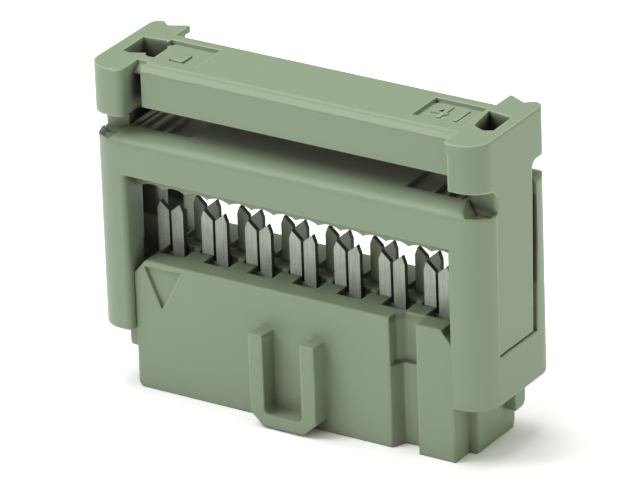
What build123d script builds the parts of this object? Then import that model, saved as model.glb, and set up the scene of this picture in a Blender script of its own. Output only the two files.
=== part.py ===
from build123d import *
import os

# Fourteen-way ribbon cable socket: a base housing with two rows of cutting contacts, a cable cover
# that is pressed down over the ribbon, and a strain relief clip seated in the ends of the cover.
# Millimetres. X runs along the contact rows, Y from the keyed front to the back, Z up.
# The origin is the middle of the contact field, on the mating face.

# Driving dimensions
wire_pitch = 1.27                     # pitch of the ribbon cable's wires
pin_pitch = 2 * wire_pitch            # pitch of the header pins along a row
contacts_per_row = 7
fit_gap = 0.05                        # running clearance of the moulded slides

# Base housing
body_half_length = 9.06
body_half_depth = 2.90
deck_height = 6.90
deck_edge_chamfer = 0.08
end_chamfer_run = 0.64
end_chamfer_drop = 0.74
foot_radius = 0.35
rear_corner_radius = 0.6
floor_thickness = 1.0
chamber_half_width = 0.71
chamber_near = 0.40                   # distance from the middle plane to the chamber's inner wall
chamber_far = 1.72                    # and to its outer wall
entry_size = 0.90
entry_mouth = 1.30
entry_mouth_depth = 0.30
fork_slot_floor = 5.90
key_front = -4.00
key_half_width = 1.86
key_top = 4.93
key_pocket_half_width = 1.08
key_pocket_floor = 0.74
channel_ledge = 4.35                  # height of the step in the channel down the front
guide_front = -1.57
guide_back = 1.82
guide_reach = 9.58
barb_reach = 10.20
barb_bottom = 1.42
barb_top = 4.40

# Cable cover, drawn raised by its whole travel
press_travel = 3.10
cover_half_length = 11.13
cover_half_depth = 3.34
cover_corner_radius = 1.4
leg_bottom = 3.15
cover_top = 13.55
cover_round_rise = 0.65
cover_round_run = 1.20
window_half_length = body_half_length + fit_gap
lip_bottom = 11.50
lip_thickness = 1.10
ridge_bottom = 10.59
groove_rise = 0.18
leg_hollow_reach = 10.30
leg_hollow_front = -1.83
leg_hollow_back = 1.70
leg_rib_bottom = 6.25
end_round = 0.40

# Strain relief clip
clip_top = 17.02
bridge_bottom = 14.90
bridge_front = -2.45
bridge_back = 1.62
panel_depth = 0.20
ear_inner = 9.08
ear_outer = 11.08
ear_relief = 9.35                     # inner side of the ear below its top plate, where relieved
ear_front = -3.40
ear_back = 2.84
ear_bottom = 14.55
arm_foot = 5.65
neck_inner = 9.66
neck_front = -1.83
neck_back = 1.47
neck_bottom = 12.60

# Contacts, stamped from strip
strip = 0.27                          # thickness of the cutting plate
spring = 0.20                         # thickness of the folded beams
fork_half_width = 0.735
fork_tip = 9.20
fork_slot_half = 0.075


def block(x_from, x_to, y_from, y_to, z_from, z_to):
    size = (x_to - x_from, y_to - y_from, z_to - z_from)
    return Pos(x_from, y_from, z_from) * Box(*size, align=(Align.MIN, Align.MIN, Align.MIN))


def front_prism(points, y_from, y_to):
    """Closed outline in X and Z, given depth from y_from to y_to."""
    outline = Plane.XZ.offset(-y_from) * Polygon(*points, align=None)
    return extrude(outline, amount=y_to - y_from, dir=(0, 1, 0))


def side_prism(points, x_from, x_to):
    """Closed outline in Y and Z, given length from x_from to x_to."""
    outline = Plane.YZ.offset(x_from) * Polygon(*points, align=None)
    return extrude(outline, amount=x_to - x_from, dir=(1, 0, 0))


def plan_prism(points, z_from, z_to):
    """Closed outline in X and Y, given height from z_from to z_to."""
    outline = Plane.XY.offset(z_from) * Polygon(*points, align=None)
    return extrude(outline, amount=z_to - z_from, dir=(0, 0, 1))


def both_ends(shape):
    return [shape, mirror(shape, about=Plane.YZ)]


def half_turn(shape):
    return Rot(0, 0, 180) * shape


def pin_places():
    """Front row, then the back row, which is the front row turned half round."""
    first = -(contacts_per_row - 1) / 2 * pin_pitch
    return [first + index * pin_pitch for index in range(contacts_per_row)]


def contact_cavity(pin_x):
    """One front-row cavity: chamber, square pin entry with its lead-in, and the fork's deck slot."""
    chamber = block(pin_x - chamber_half_width, pin_x + chamber_half_width,
                    -chamber_far, -chamber_near, floor_thickness, deck_height + 1)
    pin_y = -pin_pitch / 2
    entry = block(pin_x - entry_size / 2, pin_x + entry_size / 2,
                  pin_y - entry_size / 2, pin_y + entry_size / 2, -1, floor_thickness + 0.1)
    mouth = loft([Pos(pin_x, pin_y, 0) * Rectangle(entry_mouth, entry_mouth),
                  Pos(pin_x, pin_y, entry_mouth_depth) * Rectangle(entry_size, entry_size)])
    fork_x = pin_x - wire_pitch / 2
    fork_y = -wire_pitch / 2
    slot = block(fork_x - fork_half_width, pin_x,
                 fork_y - strip / 2, fork_y + strip / 2, fork_slot_floor, deck_height + 1)
    return chamber + entry + mouth + slot


def wire_rest(pin_x):
    """Small raised rest on the land beside a chamber, just short of the next fork."""
    rest_start = pin_x + chamber_half_width + 0.04
    return block(rest_start, rest_start + 0.36, -0.86, -chamber_near, deck_height - 0.1, deck_height + 0.14)


def polarising_key():
    """U-shaped rib on the front, which finds the notch in the header's shroud."""
    low, low_corner, corner_height = 0.10, 1.14, 0.76
    outer = front_prism([(-key_half_width, key_top), (-key_half_width, corner_height), (-low_corner, low),
                         (low_corner, low), (key_half_width, corner_height), (key_half_width, key_top)],
                        key_front, -body_half_depth + 0.2)
    sloped_top = side_prism([(key_front, 0), (key_front, key_top), (-body_half_depth + 0.2, key_top - 0.15),
                             (-body_half_depth + 0.2, 0)], -2, 2)
    pocket = block(-key_pocket_half_width, key_pocket_half_width, key_front - 1, -body_half_depth,
                   key_pocket_floor, key_top + 1)
    pocket = fillet(pocket.edges().filter_by(Axis.Y).group_by(Axis.Z)[0], 0.32)
    return (outer & sloped_top) - pocket


def front_channel():
    """Stepped channel down the front face, between the keyed panel and the end post."""
    outside = -body_half_depth - 1
    lower = plan_prism([(5.50, outside), (5.50, -body_half_depth), (5.85, -2.15), (7.04, -2.15),
                        (7.04, outside)], -1, deck_height + 1)
    upper = plan_prism([(5.50, outside), (5.50, -2.26), (5.87, -1.86), (7.02, -1.86), (7.02, outside)],
                       channel_ledge, deck_height + 1)
    return lower + upper


def end_block():
    """Guide block with its latch barb, on the right-hand end."""
    root = body_half_length - 0.5
    guide = front_prism([(root, 0), (guide_reach - 0.10, 0), (guide_reach, 0.5), (guide_reach, 2.30),
                         (body_half_length, 2.95), (root, 2.95)], guide_front, guide_back)
    barb = front_prism([(root, barb_bottom), (barb_reach, barb_bottom), (barb_reach, 3.30),
                        (body_half_length, barb_top), (root, barb_top)], 0.90, guide_back)
    rounded = barb.edges().filter_by(Axis.X).group_by(Axis.Z)[0].sort_by(Axis.Y)[-1]
    return guide + fillet(rounded, 0.38)


def make_base_housing():
    left, right = -body_half_length, body_half_length
    shoulder = deck_height - end_chamfer_drop
    deck_edge = body_half_depth - deck_edge_chamfer
    housing = front_prism([(left, 0), (right, 0), (right, shoulder), (right - end_chamfer_run, deck_height),
                           (left + end_chamfer_run, deck_height), (left, shoulder)],
                          -body_half_depth, body_half_depth)
    left_foot = housing.edges().filter_by(Axis.Y).group_by(Axis.Z)[0].sort_by(Axis.X)[0]
    housing = fillet(left_foot, foot_radius)
    rear_corners = housing.edges().filter_by(Axis.Z).group_by(Axis.Y)[-1]
    housing = fillet(rear_corners, rear_corner_radius)
    housing = housing & side_prism([(-body_half_depth, -1), (body_half_depth, -1),
                                    (body_half_depth, deck_height - deck_edge_chamfer), (deck_edge, deck_height),
                                    (-deck_edge, deck_height),
                                    (-body_half_depth, deck_height - deck_edge_chamfer)], -12, 12)

    right_end = end_block()
    housing = housing + right_end + half_turn(right_end) + polarising_key()
    housing = housing - front_channel()

    rows = [contact_cavity(x) for x in pin_places()]
    rests = [wire_rest(x) for x in pin_places()[:-1]]
    for rest in rests:
        housing = housing + rest + half_turn(rest)
    for cavity in rows:
        housing = housing - cavity - half_turn(cavity)

    first_wire_mark = front_prism([(-8.49, 6.58), (-6.33, 6.66), (-7.55, 4.46)],
                                  -body_half_depth - 1, -body_half_depth + 0.20)
    return housing - first_wire_mark


def make_contact(pin_x):
    """Front-row contact: cutting fork above, folded two-beam spring for the header pin below."""
    fork_x = pin_x - wire_pitch / 2
    plate_back = -wire_pitch / 2 + strip / 2
    plate_front = plate_back - strip
    plate_bottom = 3.0

    half_fork = [(0, 6.6), (fork_slot_half, 6.6), (fork_slot_half, 8.76), (0.57, fork_tip),
                 (fork_half_width, 8.78), (fork_half_width, fork_slot_floor), (0, fork_slot_floor)]
    right_tine = front_prism([(fork_x + x, z) for x, z in half_fork], plate_front, plate_back)
    left_tine = front_prism([(fork_x - x, z) for x, z in half_fork], plate_front, plate_back)
    body = block(pin_x - 0.50, pin_x + 0.50, plate_front, plate_back, plate_bottom, 6.3)
    contact = right_tine + left_tine + body

    pin_y = -pin_pitch / 2
    for side in (-1, 1):
        wing = block(0.50 - spring, 0.50, pin_y - 0.35, plate_back, plate_bottom + 0.2, 5.2)
        beam = front_prism([(0.50, 3.4), (0.44, 1.8), (0.58, 1.1), (0.38, 1.1), (0.24, 1.8), (0.30, 3.4)],
                           pin_y - 0.30, pin_y + 0.30)
        half = wing + beam
        if side < 0:
            half = mirror(half, about=Plane.YZ)
        contact = contact + Pos(pin_x, 0, 0) * half
    return contact


def cover_shell():
    """Outer form of the cover: rounded in plan, with soft long top edges and slightly eased ends."""
    flat = cover_half_depth - cover_round_run
    start = cover_top - cover_round_rise
    section = Plane.YZ.offset(-cover_half_length) * make_face(
        Polyline((-cover_half_depth, start), (-cover_half_depth, leg_bottom),
                 (cover_half_depth, leg_bottom), (cover_half_depth, start))
        + Bezier((cover_half_depth, start), (cover_half_depth, cover_top), (flat, cover_top))
        + Line((flat, cover_top), (-flat, cover_top))
        + Bezier((-flat, cover_top), (-cover_half_depth, cover_top), (-cover_half_depth, start)))
    shell = extrude(section, amount=2 * cover_half_length, dir=(1, 0, 0))
    plan = RectangleRounded(2 * cover_half_length, 2 * cover_half_depth, cover_corner_radius)
    ends = block(-cover_half_length, cover_half_length, -5, 5, 0, cover_top)
    ends = fillet(ends.edges().filter_by(Axis.Y).group_by(Axis.Z)[-1], end_round)
    return shell & extrude(plan, amount=cover_top + 1) & ends


def wire_grooves():
    """Round-topped grooves in the underside, one over each wire, with pointed ridges between."""
    radius = ((wire_pitch / 2) ** 2 + groove_rise ** 2) / (2 * groove_rise)
    centre = ridge_bottom + groove_rise - radius
    grooves = []
    for index in range(2 * contacts_per_row):
        x = (index - contacts_per_row + 0.5) * wire_pitch
        bar = Plane.XZ.offset(cover_half_depth) * Pos(x, centre) * Circle(radius)
        grooves.append(extrude(bar, amount=2 * cover_half_depth, dir=(0, 1, 0)))
    return grooves


def fork_pockets():
    """Slots above the forks, which take their tips as the cover closes."""
    pockets = []
    for x in pin_places():
        fork_x = x - wire_pitch / 2
        pocket = block(fork_x - 0.84, fork_x + 0.84, -0.90, -0.37, ridge_bottom - 0.1, 12.45)
        pockets += [pocket, half_turn(pocket)]
    return pockets


def leg_cuts(lead_in_tip):
    """Hollow of the right-hand leg, with the recess for the clip's arm and neck and its lead-in, whose
    front tip lies lead_in_tip from the middle."""
    recess_floor = neck_bottom - 0.1
    barb_relief_top = barb_top + press_travel + 0.1
    leg_hollow = (block(9.0, leg_hollow_reach, leg_hollow_front, leg_hollow_back, 0, recess_floor)
                  + block(9.0, leg_hollow_reach, -1.92, 1.92, 0, barb_relief_top))
    arm_recess = side_prism([(-1.92, arm_foot), (1.56, arm_foot), (1.76, 10.5), (1.76, 15), (-1.86, 15),
                             (-1.86, 13.2)], leg_hollow_reach - 0.05, 12)
    neck_recess = side_prism([(-1.86, recess_floor), (1.76, recess_floor), (1.76, 15), (-1.86, 15)],
                             neck_inner - 0.05, 12)
    lead_in = loft([Pos(0, 0, 13.6) * Polygon((9.45, -1.80), (9.60, -2.15), (lead_in_tip, -3.75), (10.75, -3.35),
                                              (11.45, -2.75), (11.45, -1.80), align=None),
                    Pos(0, 0, 12.9) * Polygon((9.95, -1.80), (10.00, -2.00), (10.30, -2.80), (10.60, -2.60),
                                              (10.85, -2.20), (10.90, -1.80), align=None)])
    return leg_hollow + arm_recess + neck_recess + lead_in


def ribbon_well():
    """Shallow ribbed well in the top, beside the right-hand ear."""
    half_depth = 1.85
    well = block(6.10, 9.30, -half_depth, half_depth, cover_top - 0.28, cover_top + 1)
    for rib in range(3):
        rib_x = 7.55 + 0.75 * rib
        well = well - front_prism([(rib_x - 0.14, 13.0), (rib_x - 0.10, cover_top - 0.02),
                                   (rib_x + 0.10, cover_top - 0.02), (rib_x + 0.14, 13.0)],
                                  -half_depth, half_depth)
    return well


def make_cable_cover():
    cover = cover_shell()

    opening = block(-window_half_length, window_half_length, -5, 5, 0, lip_bottom)
    saddle_depth = cover_half_depth - lip_thickness
    saddle = block(-window_half_length - 0.3, window_half_length + 0.3, -saddle_depth, saddle_depth,
                   ridge_bottom, lip_bottom + 0.2)
    for groove in wire_grooves():
        saddle = saddle - groove
    cover = cover - opening
    window_posts = cover.edges().filter_by(Axis.Z).filter_by_position(Axis.X, -window_half_length - 0.01,
                                                                      window_half_length + 0.01)
    cover = fillet(window_posts, 0.30)
    cover = cover + saddle
    for pocket in fork_pockets():
        cover = cover - pocket

    left_leg = mirror(leg_cuts(9.70), about=Plane.YZ)
    for end in [left_leg, leg_cuts(10.00)] + both_ends(ribbon_well()):
        cover = cover - end
    leg_rib = block(window_half_length, leg_hollow_reach - 0.05, -0.48, 0.35, leg_rib_bottom, neck_bottom - 0.1)
    for rib in both_ends(leg_rib):
        cover = cover + rib
    return cover


ear_relief_outline = [(8, 12), (8, 16.70), (ear_inner, 16.70), (ear_relief, 16.53), (ear_relief, 12)]


def clip_ear():
    """Right-hand ear on its neck, a channel open to the inside, and the arm that runs down from it.
    The back of the ear is relieved on the inside, below its top plate."""
    outline = Polygon((ear_inner, ear_front), (ear_outer, ear_front), (ear_outer, ear_back), (10.53, ear_back),
                      (10.10, 2.50), (9.17, 2.95), (ear_inner, 2.90), align=None)
    for corner, radius in (((ear_outer, ear_front), 1.2), ((ear_inner, ear_front), 0.35),
                           ((ear_outer, ear_back), 0.54)):
        outline = fillet(outline.vertices().sort_by_distance(corner)[0], radius)
    ear = extrude(Plane.XY.offset(13) * outline, amount=clip_top - 13)
    side = side_prism([(ear_front - 1, 18), (ear_front - 1, 14.72), (-2.20, 14.40), (-1.95, 14.22),
                       (neck_front, 13.95), (neck_back, 13.95), (neck_back, 14.20), (1.62, 14.45),
                       (1.85, ear_bottom), (4, ear_bottom), (4, 18)], 8, 12)
    ear = ear & side - block(8, neck_inner, -5, 5, 12, ear_bottom)
    ear = ear - front_prism(ear_relief_outline, bridge_back, 4)

    neck = block(neck_inner, ear_outer, neck_front, neck_back, neck_bottom, 14.1)
    front_edge = neck.edges().filter_by(Axis.Z).sort_by_distance((ear_outer, neck_front, 13.4))[0]
    neck = fillet(front_edge, 0.20)
    channel = block(8, leg_hollow_reach, -1.40, 1.02, 12, ear_bottom)
    arm = side_prism([(-1.89, arm_foot + 0.09), (1.26, arm_foot + 0.09), (neck_back, 13.2), (neck_front, 13.2)],
                     leg_hollow_reach, ear_outer)
    return (ear + neck) - channel + arm


def make_strain_relief_clip():
    bridge = side_prism([(bridge_front, bridge_bottom), (bridge_front, 16.78), (-2.27, 16.95),
                         (-1.75, clip_top), (bridge_back, clip_top), (bridge_back, bridge_bottom)],
                        -ear_relief - 0.1, ear_relief + 0.1)
    floor = clip_top - panel_depth
    panel = block(6.12, 8.95, -1.17, 1.05, floor, clip_top + 1)
    for cut in both_ends(panel):
        bridge = bridge - cut
    for pit_x in (-8.83, 6.20):
        bridge = bridge - block(pit_x - 0.08, pit_x + 0.08, 0.89, 1.05, floor - 0.20, clip_top)
    first_wire_mark = plan_prism([(-7.88, -0.82), (-7.10, -0.88), (-7.08, 0.02)], floor - 0.1, floor + 0.12)

    clip = bridge + first_wire_mark
    for ear in both_ends(clip_ear()):
        clip = clip + ear
    slot_end = -8.48
    left_slot = block(-ear_inner, slot_end, -3, -1.30, 14, 16.45)
    slot_bevel = side_prism([(-3, 16.40), (-2.10, 16.40), (-2.10, 16.50), (-1.72, 16.86), (-1.72, 18), (-3, 18)],
                            -ear_inner, slot_end)
    right_relief = front_prism(ear_relief_outline, -4, bridge_front)
    clip = clip - left_slot - slot_bevel - right_relief
    left_hole = [(-10.35, 0.72), (-9.12, 0.86), (-8.80, 0.50), (-8.77, -1.20), (-9.08, -1.12), (-9.16, -0.88),
                 (-9.90, -1.20), (-10.33, -1.14)]
    right_hole = [(9.15, 0.87), (9.38, -0.90), (9.90, -1.18), (10.13, -1.23), (10.52, -1.02), (10.48, 0.66)]
    for hole in (left_hole, right_hole):
        clip = clip - plan_prism(hole, 13.4, 18)
    return clip


os.makedirs("parts", exist_ok=True)
export_step(make_base_housing(), "parts/base_housing.step")
export_step(make_cable_cover(), "parts/cable_cover.step")
export_step(make_strain_relief_clip(), "parts/strain_relief_clip.step")
for index, x in enumerate(pin_places()):
    contact = make_contact(x)
    export_step(contact, f"parts/contact_{2 * index + 1:02d}.step")
    back_index = contacts_per_row - index
    export_step(half_turn(contact), f"parts/contact_{2 * back_index:02d}.step")
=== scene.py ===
import bpy
import math
from mathutils import Matrix, Vector


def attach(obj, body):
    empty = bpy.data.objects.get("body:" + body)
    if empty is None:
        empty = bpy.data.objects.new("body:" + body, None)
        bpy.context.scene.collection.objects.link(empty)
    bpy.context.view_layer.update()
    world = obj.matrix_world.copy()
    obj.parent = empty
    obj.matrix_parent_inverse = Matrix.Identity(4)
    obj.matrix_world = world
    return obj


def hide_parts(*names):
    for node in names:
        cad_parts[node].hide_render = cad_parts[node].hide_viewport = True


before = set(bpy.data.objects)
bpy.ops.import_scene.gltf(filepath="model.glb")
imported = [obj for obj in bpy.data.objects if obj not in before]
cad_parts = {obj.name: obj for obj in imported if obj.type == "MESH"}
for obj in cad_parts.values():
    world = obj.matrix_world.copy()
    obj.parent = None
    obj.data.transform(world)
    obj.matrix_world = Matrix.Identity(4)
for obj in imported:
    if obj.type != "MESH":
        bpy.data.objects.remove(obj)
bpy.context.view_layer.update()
mm = 0.001


# The photographer's view. The socket stands on its mating face and is seen from its front right,
# from a little above, through a long lens.
view_azimuth = math.radians(32.886)
view_elevation = math.radians(24.650)
view_roll = math.radians(-2.059)
view_distance = 350 * mm
view_target = Vector((0.014, -0.164, 8.727)) * mm
film_width = 36
lens_per_film_width = 11.3052
nearest_seen = 10 * mm
furthest_seen = 10


def direction(azimuth, elevation):
    """Points from the socket to what stands round it: 0 is its front, and turns go to its right."""
    return Vector((math.sin(azimuth) * math.cos(elevation),
                   -math.cos(azimuth) * math.cos(elevation),
                   math.sin(elevation)))


def facing_socket(way):
    return way.to_track_quat("Z", "Y").to_matrix().to_4x4()


towards_camera = direction(view_azimuth, view_elevation)
camera_data = bpy.data.cameras.new("photo_camera")
camera_data.sensor_width = film_width
camera_data.lens = film_width * lens_per_film_width
camera_data.clip_start = nearest_seen
camera_data.clip_end = furthest_seen
camera = bpy.data.objects.new("photo_camera", camera_data)
bpy.context.scene.collection.objects.link(camera)
camera.matrix_world = (Matrix.Translation(view_target + towards_camera * view_distance)
                       @ facing_socket(towards_camera) @ Matrix.Rotation(view_roll, 4, "Z"))
bpy.context.scene.camera = camera


# White seamless table under the socket. The camera and the tin's gloss see it as clean white, and
# it keeps the soft shadow that the socket throws.
class Value:
    """One socket of a material's node tree, which plain arithmetic can be done on."""

    def __init__(self, tree, socket=None):
        self.tree, self.socket = tree, socket

    def node(self, kind, settings=None, inputs=None, output=0):
        made = self.tree.nodes.new(kind)
        for name, setting in (settings or {}).items():
            setattr(made, name, setting)
        for name, given in (inputs or {}).items():
            if isinstance(given, Value):
                self.tree.links.new(given.socket, made.inputs[name])
            else:
                made.inputs[name].default_value = given
        return Value(self.tree, made.outputs[output] if made.outputs else None)

    def maths(self, operation, first, second=0.0):
        return self.node("ShaderNodeMath", {"operation": operation}, {0: first, 1: second})

    def __add__(self, other):
        return self.maths("ADD", self, other)

    def __radd__(self, other):
        return self.maths("ADD", other, self)

    def __sub__(self, other):
        return self.maths("SUBTRACT", self, other)

    def __rsub__(self, other):
        return self.maths("SUBTRACT", other, self)

    def __mul__(self, other):
        return self.maths("MULTIPLY", self, other)

    def __rmul__(self, other):
        return self.maths("MULTIPLY", other, self)

    def clamped(self):
        return self.node("ShaderNodeClamp", {}, {"Value": self})

    def between(self, low, high):
        """0 at low, 1 at high, smooth between."""
        return self.node("ShaderNodeMapRange", {"interpolation_type": "SMOOTHSTEP"},
                         {"Value": self, "From Min": low, "From Max": high})

    def blend(self, first, second):
        """The first colour where this is 0, the second where it is 1."""
        factor, colour_a, colour_b, colour_out = 0, 6, 7, 2
        return self.node("ShaderNodeMix", {"data_type": "RGBA"},
                         {factor: self, colour_a: first, colour_b: second}, colour_out)


def new_material(name):
    material = bpy.data.materials.new(name)
    material.use_nodes = True
    material.node_tree.nodes.clear()
    return material, Value(material.node_tree)


def finish_material(tree, shader):
    tree.node("ShaderNodeOutputMaterial", {}, {"Surface": shader})


table_reach = 0.6
table_grey = (0.80, 0.80, 0.80, 1)
table_as_seen = (1.55, 1.55, 1.56, 1)

bpy.ops.object.select_all(action="DESELECT")
bpy.ops.mesh.primitive_plane_add(size=2 * table_reach, location=(0, 0, 0))
table = bpy.context.object
table.name = "table"
table_paint, tree = new_material("table_white")
seen = (tree.node("ShaderNodeLightPath", output="Is Camera Ray")
        + tree.node("ShaderNodeLightPath", output="Is Glossy Ray")
        + tree.node("ShaderNodeLightPath", output="Is Transmission Ray")).clamped()
table_colour = seen.blend(table_grey, table_as_seen)
finish_material(tree, tree.node("ShaderNodeBsdfDiffuse", {}, {"Color": table_colour}))
table.data.materials.append(table_paint)


# Studio light: a dim warm room, a broad soft box overhead on the left with a smaller one that draws
# the edges, two in front that open up the upright faces and the window, and one right and one back.
room_colour = (1.0, 0.90, 0.87, 1)
room_strength = 0.11
lamp_distance = 0.5
plain_white = (1, 1, 1)
cool_white = (1.0, 1.0, 1.03)
green_white = (0.90, 1.0, 0.78)

world = bpy.data.worlds.new("studio")
world.use_nodes = True
world.node_tree.nodes["Background"].inputs["Color"].default_value = room_colour
world.node_tree.nodes["Background"].inputs["Strength"].default_value = room_strength
bpy.context.scene.world = world
bpy.context.scene.view_settings.view_transform = "Standard"


def soft_lamp(name, azimuth, elevation, size, watts, colour=plain_white):
    lamp_data = bpy.data.lights.new(name, "AREA")
    lamp_data.color = colour
    lamp_data.shape = "DISK"
    lamp_data.size = size
    lamp_data.energy = watts
    lamp = bpy.data.objects.new(name, lamp_data)
    bpy.context.scene.collection.objects.link(lamp)
    way = direction(math.radians(azimuth), math.radians(elevation))
    lamp.matrix_world = Matrix.Translation(way * lamp_distance) @ facing_socket(way)


soft_lamp("overhead_lamp", azimuth=-110, elevation=76, size=0.45, watts=1.50)
soft_lamp("edge_lamp", azimuth=-49, elevation=50, size=0.20, watts=0.60)
soft_lamp("front_lamp", azimuth=-10, elevation=32, size=0.26, watts=0.30, colour=cool_white)
soft_lamp("low_front_lamp", azimuth=-8, elevation=12, size=0.26, watts=0.15)
soft_lamp("right_lamp", azimuth=98, elevation=22, size=0.26, watts=0.43, colour=green_white)
soft_lamp("back_lamp", azimuth=170, elevation=50, size=0.30, watts=0.32)


# Base housing: one moulding in grey-green glass-filled polyester, with crisp edges just broken by
# the mould's polish. The fourteen contacts are pressed into it from above.
moulding_green = (0.323, 0.420, 0.280)
dark_cloud, light_cloud = 0.90, 1.10
# Paler green laid on the open convex edges: a painted highlight.
pale_highlight_green = (0.50, 0.60, 0.37)
# Brown laid into the crevices: painted shade.
crevice_shade_brown = (0.260, 0.235, 0.190, 1)
# Near-black laid into the pockets: painted shade.
pocket_shade_brown = (0.045, 0.037, 0.030, 1)
cloud_scale, speck_scale, grain_scale = 260.0, 5200.0, 16000.0
cloud_tint, speck_tint = 0.16, 0.10
grain_relief, speck_relief = 0.6, 0.4
grain_strength, grain_depth = 0.25, 0.006 * mm
satin_rough, speck_rough, edge_polish = 0.42, 0.12, 0.06
broken_edge = 0.24 * mm
edge_turn = 0.005, 0.14
edge_openness = 0.55, 0.80
# How strongly the painted highlight lightens the edges.
edge_highlight_strength = 0.80
shade_reach = 3.0 * mm
# Where the painted crevice shade starts and where it is full.
crevice_openness = 0.06, 0.68
# Where the painted pocket shade starts, how it fades in, and how dark it gets.
pocket_shut, pocket_fade, pocket_shade_strength = 0.15, 0.3 * mm, 0.85
polyester_ior, polyester_specular = 1.5, 0.5
same_point = 0.0005 * mm
same_plane = math.radians(0.5)
round_below = math.cos(math.radians(28))


def skin_of(node_name):
    """A merged copy of a CAD piece, with its flat faces shaded flat and its round ones smooth."""
    bpy.ops.object.select_all(action="DESELECT")
    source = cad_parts[node_name]
    piece = bpy.data.objects.new(node_name + "_skin", source.data.copy())
    bpy.context.scene.collection.objects.link(piece)
    piece.data.materials.clear()
    bpy.context.view_layer.objects.active = piece
    piece.select_set(True)
    bpy.ops.object.mode_set(mode="EDIT")
    bpy.ops.mesh.select_all(action="SELECT")
    bpy.ops.mesh.remove_doubles(threshold=same_point)
    bpy.ops.mesh.dissolve_limited(angle_limit=same_plane)
    bpy.ops.object.mode_set(mode="OBJECT")
    bpy.ops.object.shade_smooth()

    # Each corner of a face is shaded by the faces at its point that lean nearly the same way. A
    # large flat face then stays flat up to its edge, with no streaks from the small ones round it.
    shape = piece.data
    faces_at = [[] for _ in shape.vertices]
    for face in shape.polygons:
        for point in face.vertices:
            faces_at[point].append(face)
    corner_normals = []
    for face in shape.polygons:
        for point in face.vertices:
            alike = [other.normal * other.area for other in faces_at[point]
                     if other.normal.dot(face.normal) > round_below]
            corner_normals.append(sum(alike, Vector()).normalized())
    shape.normals_split_custom_set(corner_normals)
    return piece


def moulded_plastic(name, highlight_colour, seed, crevice_shade_strength, pocket_from, pocket_to, pocket_open):
    """Satin moulded polyester: cloudy tint, fine spark-eroded grain, paler open edges as a painted
    highlight, painted brown shade in the crevices, and painted near-black shade in the pockets
    between two heights."""
    material, tree = new_material(name)
    place = tree.node("ShaderNodeTexCoord", output="Object")
    cloud = tree.node("ShaderNodeTexNoise", {"noise_dimensions": "4D"},
                      {"Vector": place, "W": seed, "Scale": cloud_scale, "Detail": 3.0})
    speck = tree.node("ShaderNodeTexNoise", {"noise_dimensions": "4D"},
                      {"Vector": place, "W": seed + 1, "Scale": speck_scale, "Detail": 2.0})
    grain = tree.node("ShaderNodeTexNoise", {"noise_dimensions": "4D"},
                      {"Vector": place, "W": seed + 2, "Scale": grain_scale, "Detail": 2.0})

    # Where the surface turns over an edge, how open each place is, and where the pockets lie.
    rounded = tree.node("ShaderNodeBevel", {"samples": 8}, {"Radius": broken_edge})
    flat = tree.node("ShaderNodeNewGeometry", output="Normal")
    turn = tree.node("ShaderNodeVectorMath", {"operation": "DOT_PRODUCT"},
                     {0: rounded, 1: flat}, "Value")
    open_sky = tree.node("ShaderNodeAmbientOcclusion", {"samples": 12},
                         {"Distance": shade_reach}, "AO")
    # edge marks the open convex edges that get the painted highlight.
    edge = (1 - turn).between(*edge_turn) * open_sky.between(*edge_openness)
    # crevice is where painted shade turns the crevices brown.
    crevice = (1 - open_sky.between(*crevice_openness)) * crevice_shade_strength
    height = tree.node("ShaderNodeSeparateXYZ", {}, {"Vector": place}, "Z")
    # pocket marks the shut places between two heights that get painted near-black shade.
    pocket = (height.between(pocket_from * mm, pocket_from * mm + pocket_fade)
              * (1 - height.between(pocket_to * mm - pocket_fade, pocket_to * mm))
              * (1 - open_sky.between(pocket_shut, pocket_open)))

    shade = (cloud - 0.5) * cloud_tint + (speck - 0.5) * speck_tint + 0.5
    colour = shade.blend(tuple(channel * dark_cloud for channel in moulding_green) + (1,),
                         tuple(channel * light_cloud for channel in moulding_green) + (1,))
    # Painted shade: the crevices turn brown.
    colour = crevice.blend(colour, crevice_shade_brown)
    # Painted shade: the pockets turn near-black.
    colour = (pocket * pocket_shade_strength).blend(colour, pocket_shade_brown)
    # Painted highlight: the open edges turn paler.
    colour = (edge * edge_highlight_strength).blend(colour, highlight_colour + (1,))
    relief = grain * grain_relief + speck * speck_relief
    bump = tree.node("ShaderNodeBump", {},
                     {"Strength": grain_strength, "Distance": grain_depth,
                      "Height": relief, "Normal": rounded})
    rough = satin_rough + (speck - 0.5) * speck_rough - edge * edge_polish
    shader = tree.node("ShaderNodeBsdfPrincipled", {},
                       {"Base Color": colour, "Roughness": rough, "Normal": bump,
                        "IOR": polyester_ior, "Specular IOR Level": polyester_specular})
    finish_material(tree, shader)
    return material


base = skin_of("base_housing")
# Painted shade in the crevices and pockets, painted highlight on the open edges.
base.data.materials.append(moulded_plastic("base_moulding", pale_highlight_green, seed=1.0, crevice_shade_strength=0.95,
                                           pocket_from=6.4, pocket_to=7.6, pocket_open=1.05))
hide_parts("base_housing")
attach(base, "base")


# Cable cover: a separate moulding in the same compound, pressed down over the ribbon in a vice or
# a hand press. Its long top edges are softly rounded and its corners turn to a large radius.
cover = skin_of("cable_cover")
# Painted shade in the crevices and pockets, painted highlight on the open edges.
cover.data.materials.append(moulded_plastic("cover_moulding", pale_highlight_green, seed=11.0, crevice_shade_strength=0.82,
                                            pocket_from=8.0, pocket_to=12.9, pocket_open=0.95))
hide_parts("cable_cover")
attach(cover, "cover")


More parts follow.
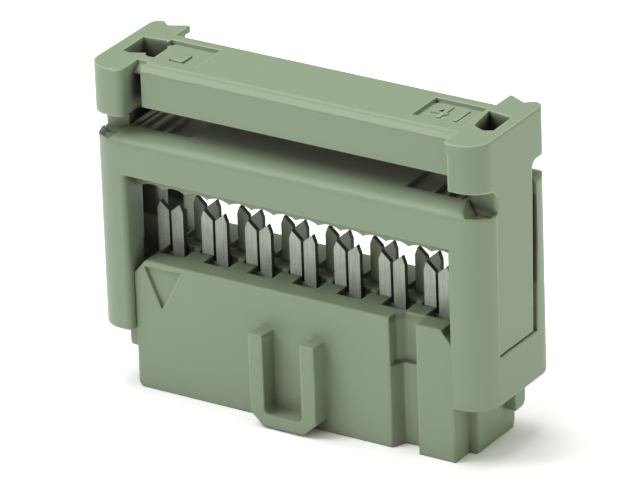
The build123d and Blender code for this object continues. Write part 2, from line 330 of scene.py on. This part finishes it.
# Strain relief clip: the third moulding, snapped into the ends of the cover once the ribbon has
# been folded back over it. Its mould left a raised number in one panel and three fine lines along
# the bridge's front edge.
# Paler green for the clip's open edges: a painted highlight.
clip_highlight_green = (0.62, 0.73, 0.47)
panel_floor = 16.82
panel_middle = (7.56, -0.05)
number_height = 1.95
number_thickness = 0.13
number_spacing = 1.15
stroke_growth = 0.012
line_middle = 0.29
line_length = 17.45
line_places = [(-1.84, 16.99), (-2.26, 16.94), (-2.45, 16.77)]
line_sections = [(0.08, 0.06), (0.05, 0.05), (0.05, 0.05)]
line_broken_edge = 0.3


def raised_line(centre, size):
    """A thin line left standing by a cut in the mould, with its edges broken."""
    bpy.ops.object.select_all(action="DESELECT")
    bpy.ops.mesh.primitive_cube_add(size=1, location=Vector(centre) * mm,
                                    scale=Vector(size) * mm)
    line = bpy.context.object
    bpy.ops.object.transform_apply(location=False, rotation=False, scale=True)
    broken = line.modifiers.new("broken_edges", "BEVEL")
    broken.width = line_broken_edge * min(size) * mm
    broken.segments = 2
    bpy.ops.object.modifier_apply(modifier=broken.name)
    return line


def raised_number(digits, place):
    """A plain number standing up from the floor of its panel, made a mesh before it is placed.
    Its points are merged and its faces turned outwards, also those inside the hole of the 4."""
    bpy.ops.object.select_all(action="DESELECT")
    bpy.ops.object.text_add(location=(0, 0, 0))
    number = bpy.context.object
    number.data.body = digits
    number.data.align_x, number.data.align_y = "CENTER", "CENTER"
    number.data.size = number_height * mm
    number.data.space_character = number_spacing
    number.data.extrude = number_thickness * mm / 2
    number.data.offset = stroke_growth * mm
    bpy.ops.object.convert(target="MESH")
    bpy.ops.object.mode_set(mode="EDIT")
    bpy.ops.mesh.select_all(action="SELECT")
    bpy.ops.mesh.remove_doubles(threshold=same_point)
    bpy.ops.mesh.normals_make_consistent(inside=False)
    bpy.ops.object.mode_set(mode="OBJECT")
    number.location = Vector(place) * mm
    bpy.ops.object.transform_apply(location=True, rotation=True, scale=True)
    return number


clip = skin_of("strain_relief_clip")
number = raised_number("41", panel_middle + (panel_floor,))
lines = [raised_line((line_middle, depth, height), (line_length, width, thickness))
         for (depth, height), (width, thickness) in zip(line_places, line_sections)]
bpy.ops.object.select_all(action="DESELECT")
for raised in lines + [number, clip]:
    raised.select_set(True)
bpy.context.view_layer.objects.active = clip
bpy.ops.object.join()
# Painted shade in the crevices and pockets, painted highlight on the open edges.
clip.data.materials.append(moulded_plastic("clip_moulding", clip_highlight_green, seed=21.0, crevice_shade_strength=0.8,
                                           pocket_from=13.0, pocket_to=16.95, pocket_open=0.6))
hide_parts("strain_relief_clip")
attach(clip, "cover")


# Contacts: stamped from copper alloy strip, plated with dull tin, and pressed into the base. The
# rolls leave fine lines along the tines and a few pits. The sheared edges are bare metal, and their
# near-black colour is also painted shade; the rear row's darker tin is painted shade.
dull_tin = (0.47, 0.53, 0.44, 1)
bright_tin = (0.80, 0.88, 0.74, 1)
pitted_tin = (0.20, 0.22, 0.18, 1)
# Darker tin laid on the rear row: painted shade.
rear_row_shade_tin = (0.26, 0.29, 0.22, 1)
# Bare sheared metal, made near-black by painted shade.
sheared_edge_and_shade = (0.085, 0.095, 0.065, 1)
pitted_share, rear_shade_share = 0.5, 0.70
rows_meet = 0.5 * mm
rolled_turn = 0.60, 0.92
along_tine = (1, 1, 0.05)
line_scale, tin_cloud_scale, spot_scale = 15000.0, 1300.0, 5200.0
pit_from, pit_full = 0.68, 0.74
tin_cloud_tint, line_tint = 1.1, 1.3
tin_rough, tin_cloud_rough, pit_rough, sheared_rough = 0.44, 0.20, 0.15, 0.20
line_relief, pit_relief = 0.7, 0.6
rolling_strength, rolling_depth = 0.35, 0.004 * mm
tin_metallic = 0.12
strip_edge = 0.012 * mm
sharp_from = math.radians(25)


def tin_plate(name):
    material, tree = new_material(name)
    place = tree.node("ShaderNodeTexCoord", output="Object")
    facing = tree.node("ShaderNodeTexCoord", output="Normal")
    front_or_back = tree.node("ShaderNodeSeparateXYZ", {}, {"Vector": facing}, "Y")
    rolled_face = tree.maths("ABSOLUTE", front_or_back).between(*rolled_turn)
    drawn = tree.node("ShaderNodeMapping", {}, {"Vector": place, "Scale": along_tine})
    roll_lines = tree.node("ShaderNodeTexNoise", {},
                           {"Vector": drawn, "Scale": line_scale, "Detail": 2.0})
    cloud = tree.node("ShaderNodeTexNoise", {},
                      {"Vector": place, "Scale": tin_cloud_scale, "Detail": 3.0})
    spots = tree.node("ShaderNodeTexNoise", {},
                      {"Vector": place, "Scale": spot_scale, "Detail": 1.0})
    pit = spots.between(pit_from, pit_full)
    depth = tree.node("ShaderNodeSeparateXYZ", {}, {"Vector": place}, "Y")
    rear_row = depth.between(-rows_meet, rows_meet)

    tone = ((cloud - 0.5) * tin_cloud_tint + (roll_lines - 0.5) * line_tint + 0.5).clamped()
    tin = tone.blend(dull_tin, bright_tin)
    tin = (pit * pitted_share).blend(tin, pitted_tin)
    # Painted shade: the rear row's tin darkens.
    tin = (rear_row * rear_shade_share).blend(tin, rear_row_shade_tin)
    # Side faces of the strip: bare metal, darkened further as painted shade.
    colour = rolled_face.blend(sheared_edge_and_shade, tin)
    rough = (tin_rough + (cloud - 0.5) * tin_cloud_rough + pit * pit_rough
             + (1 - rolled_face) * sheared_rough)
    relief = roll_lines * line_relief - pit * pit_relief
    bump = tree.node("ShaderNodeBump", {},
                     {"Strength": rolling_strength, "Distance": rolling_depth,
                      "Height": relief})
    shader = tree.node("ShaderNodeBsdfPrincipled", {},
                       {"Base Color": colour, "Metallic": tin_metallic, "Roughness": rough,
                        "Normal": bump})
    finish_material(tree, shader)
    return material


plated = tin_plate("contact_tin")
for name in sorted(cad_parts):
    if name.startswith("contact_"):
        contact = skin_of(name)
        broken = contact.modifiers.new("broken_edges", "BEVEL")
        broken.width = strip_edge
        broken.segments = 2
        broken.limit_method = "ANGLE"
        broken.angle_limit = sharp_from
        bpy.ops.object.modifier_apply(modifier=broken.name)
        contact.data.materials.append(plated)
        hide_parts(name)
        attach(contact, "base")
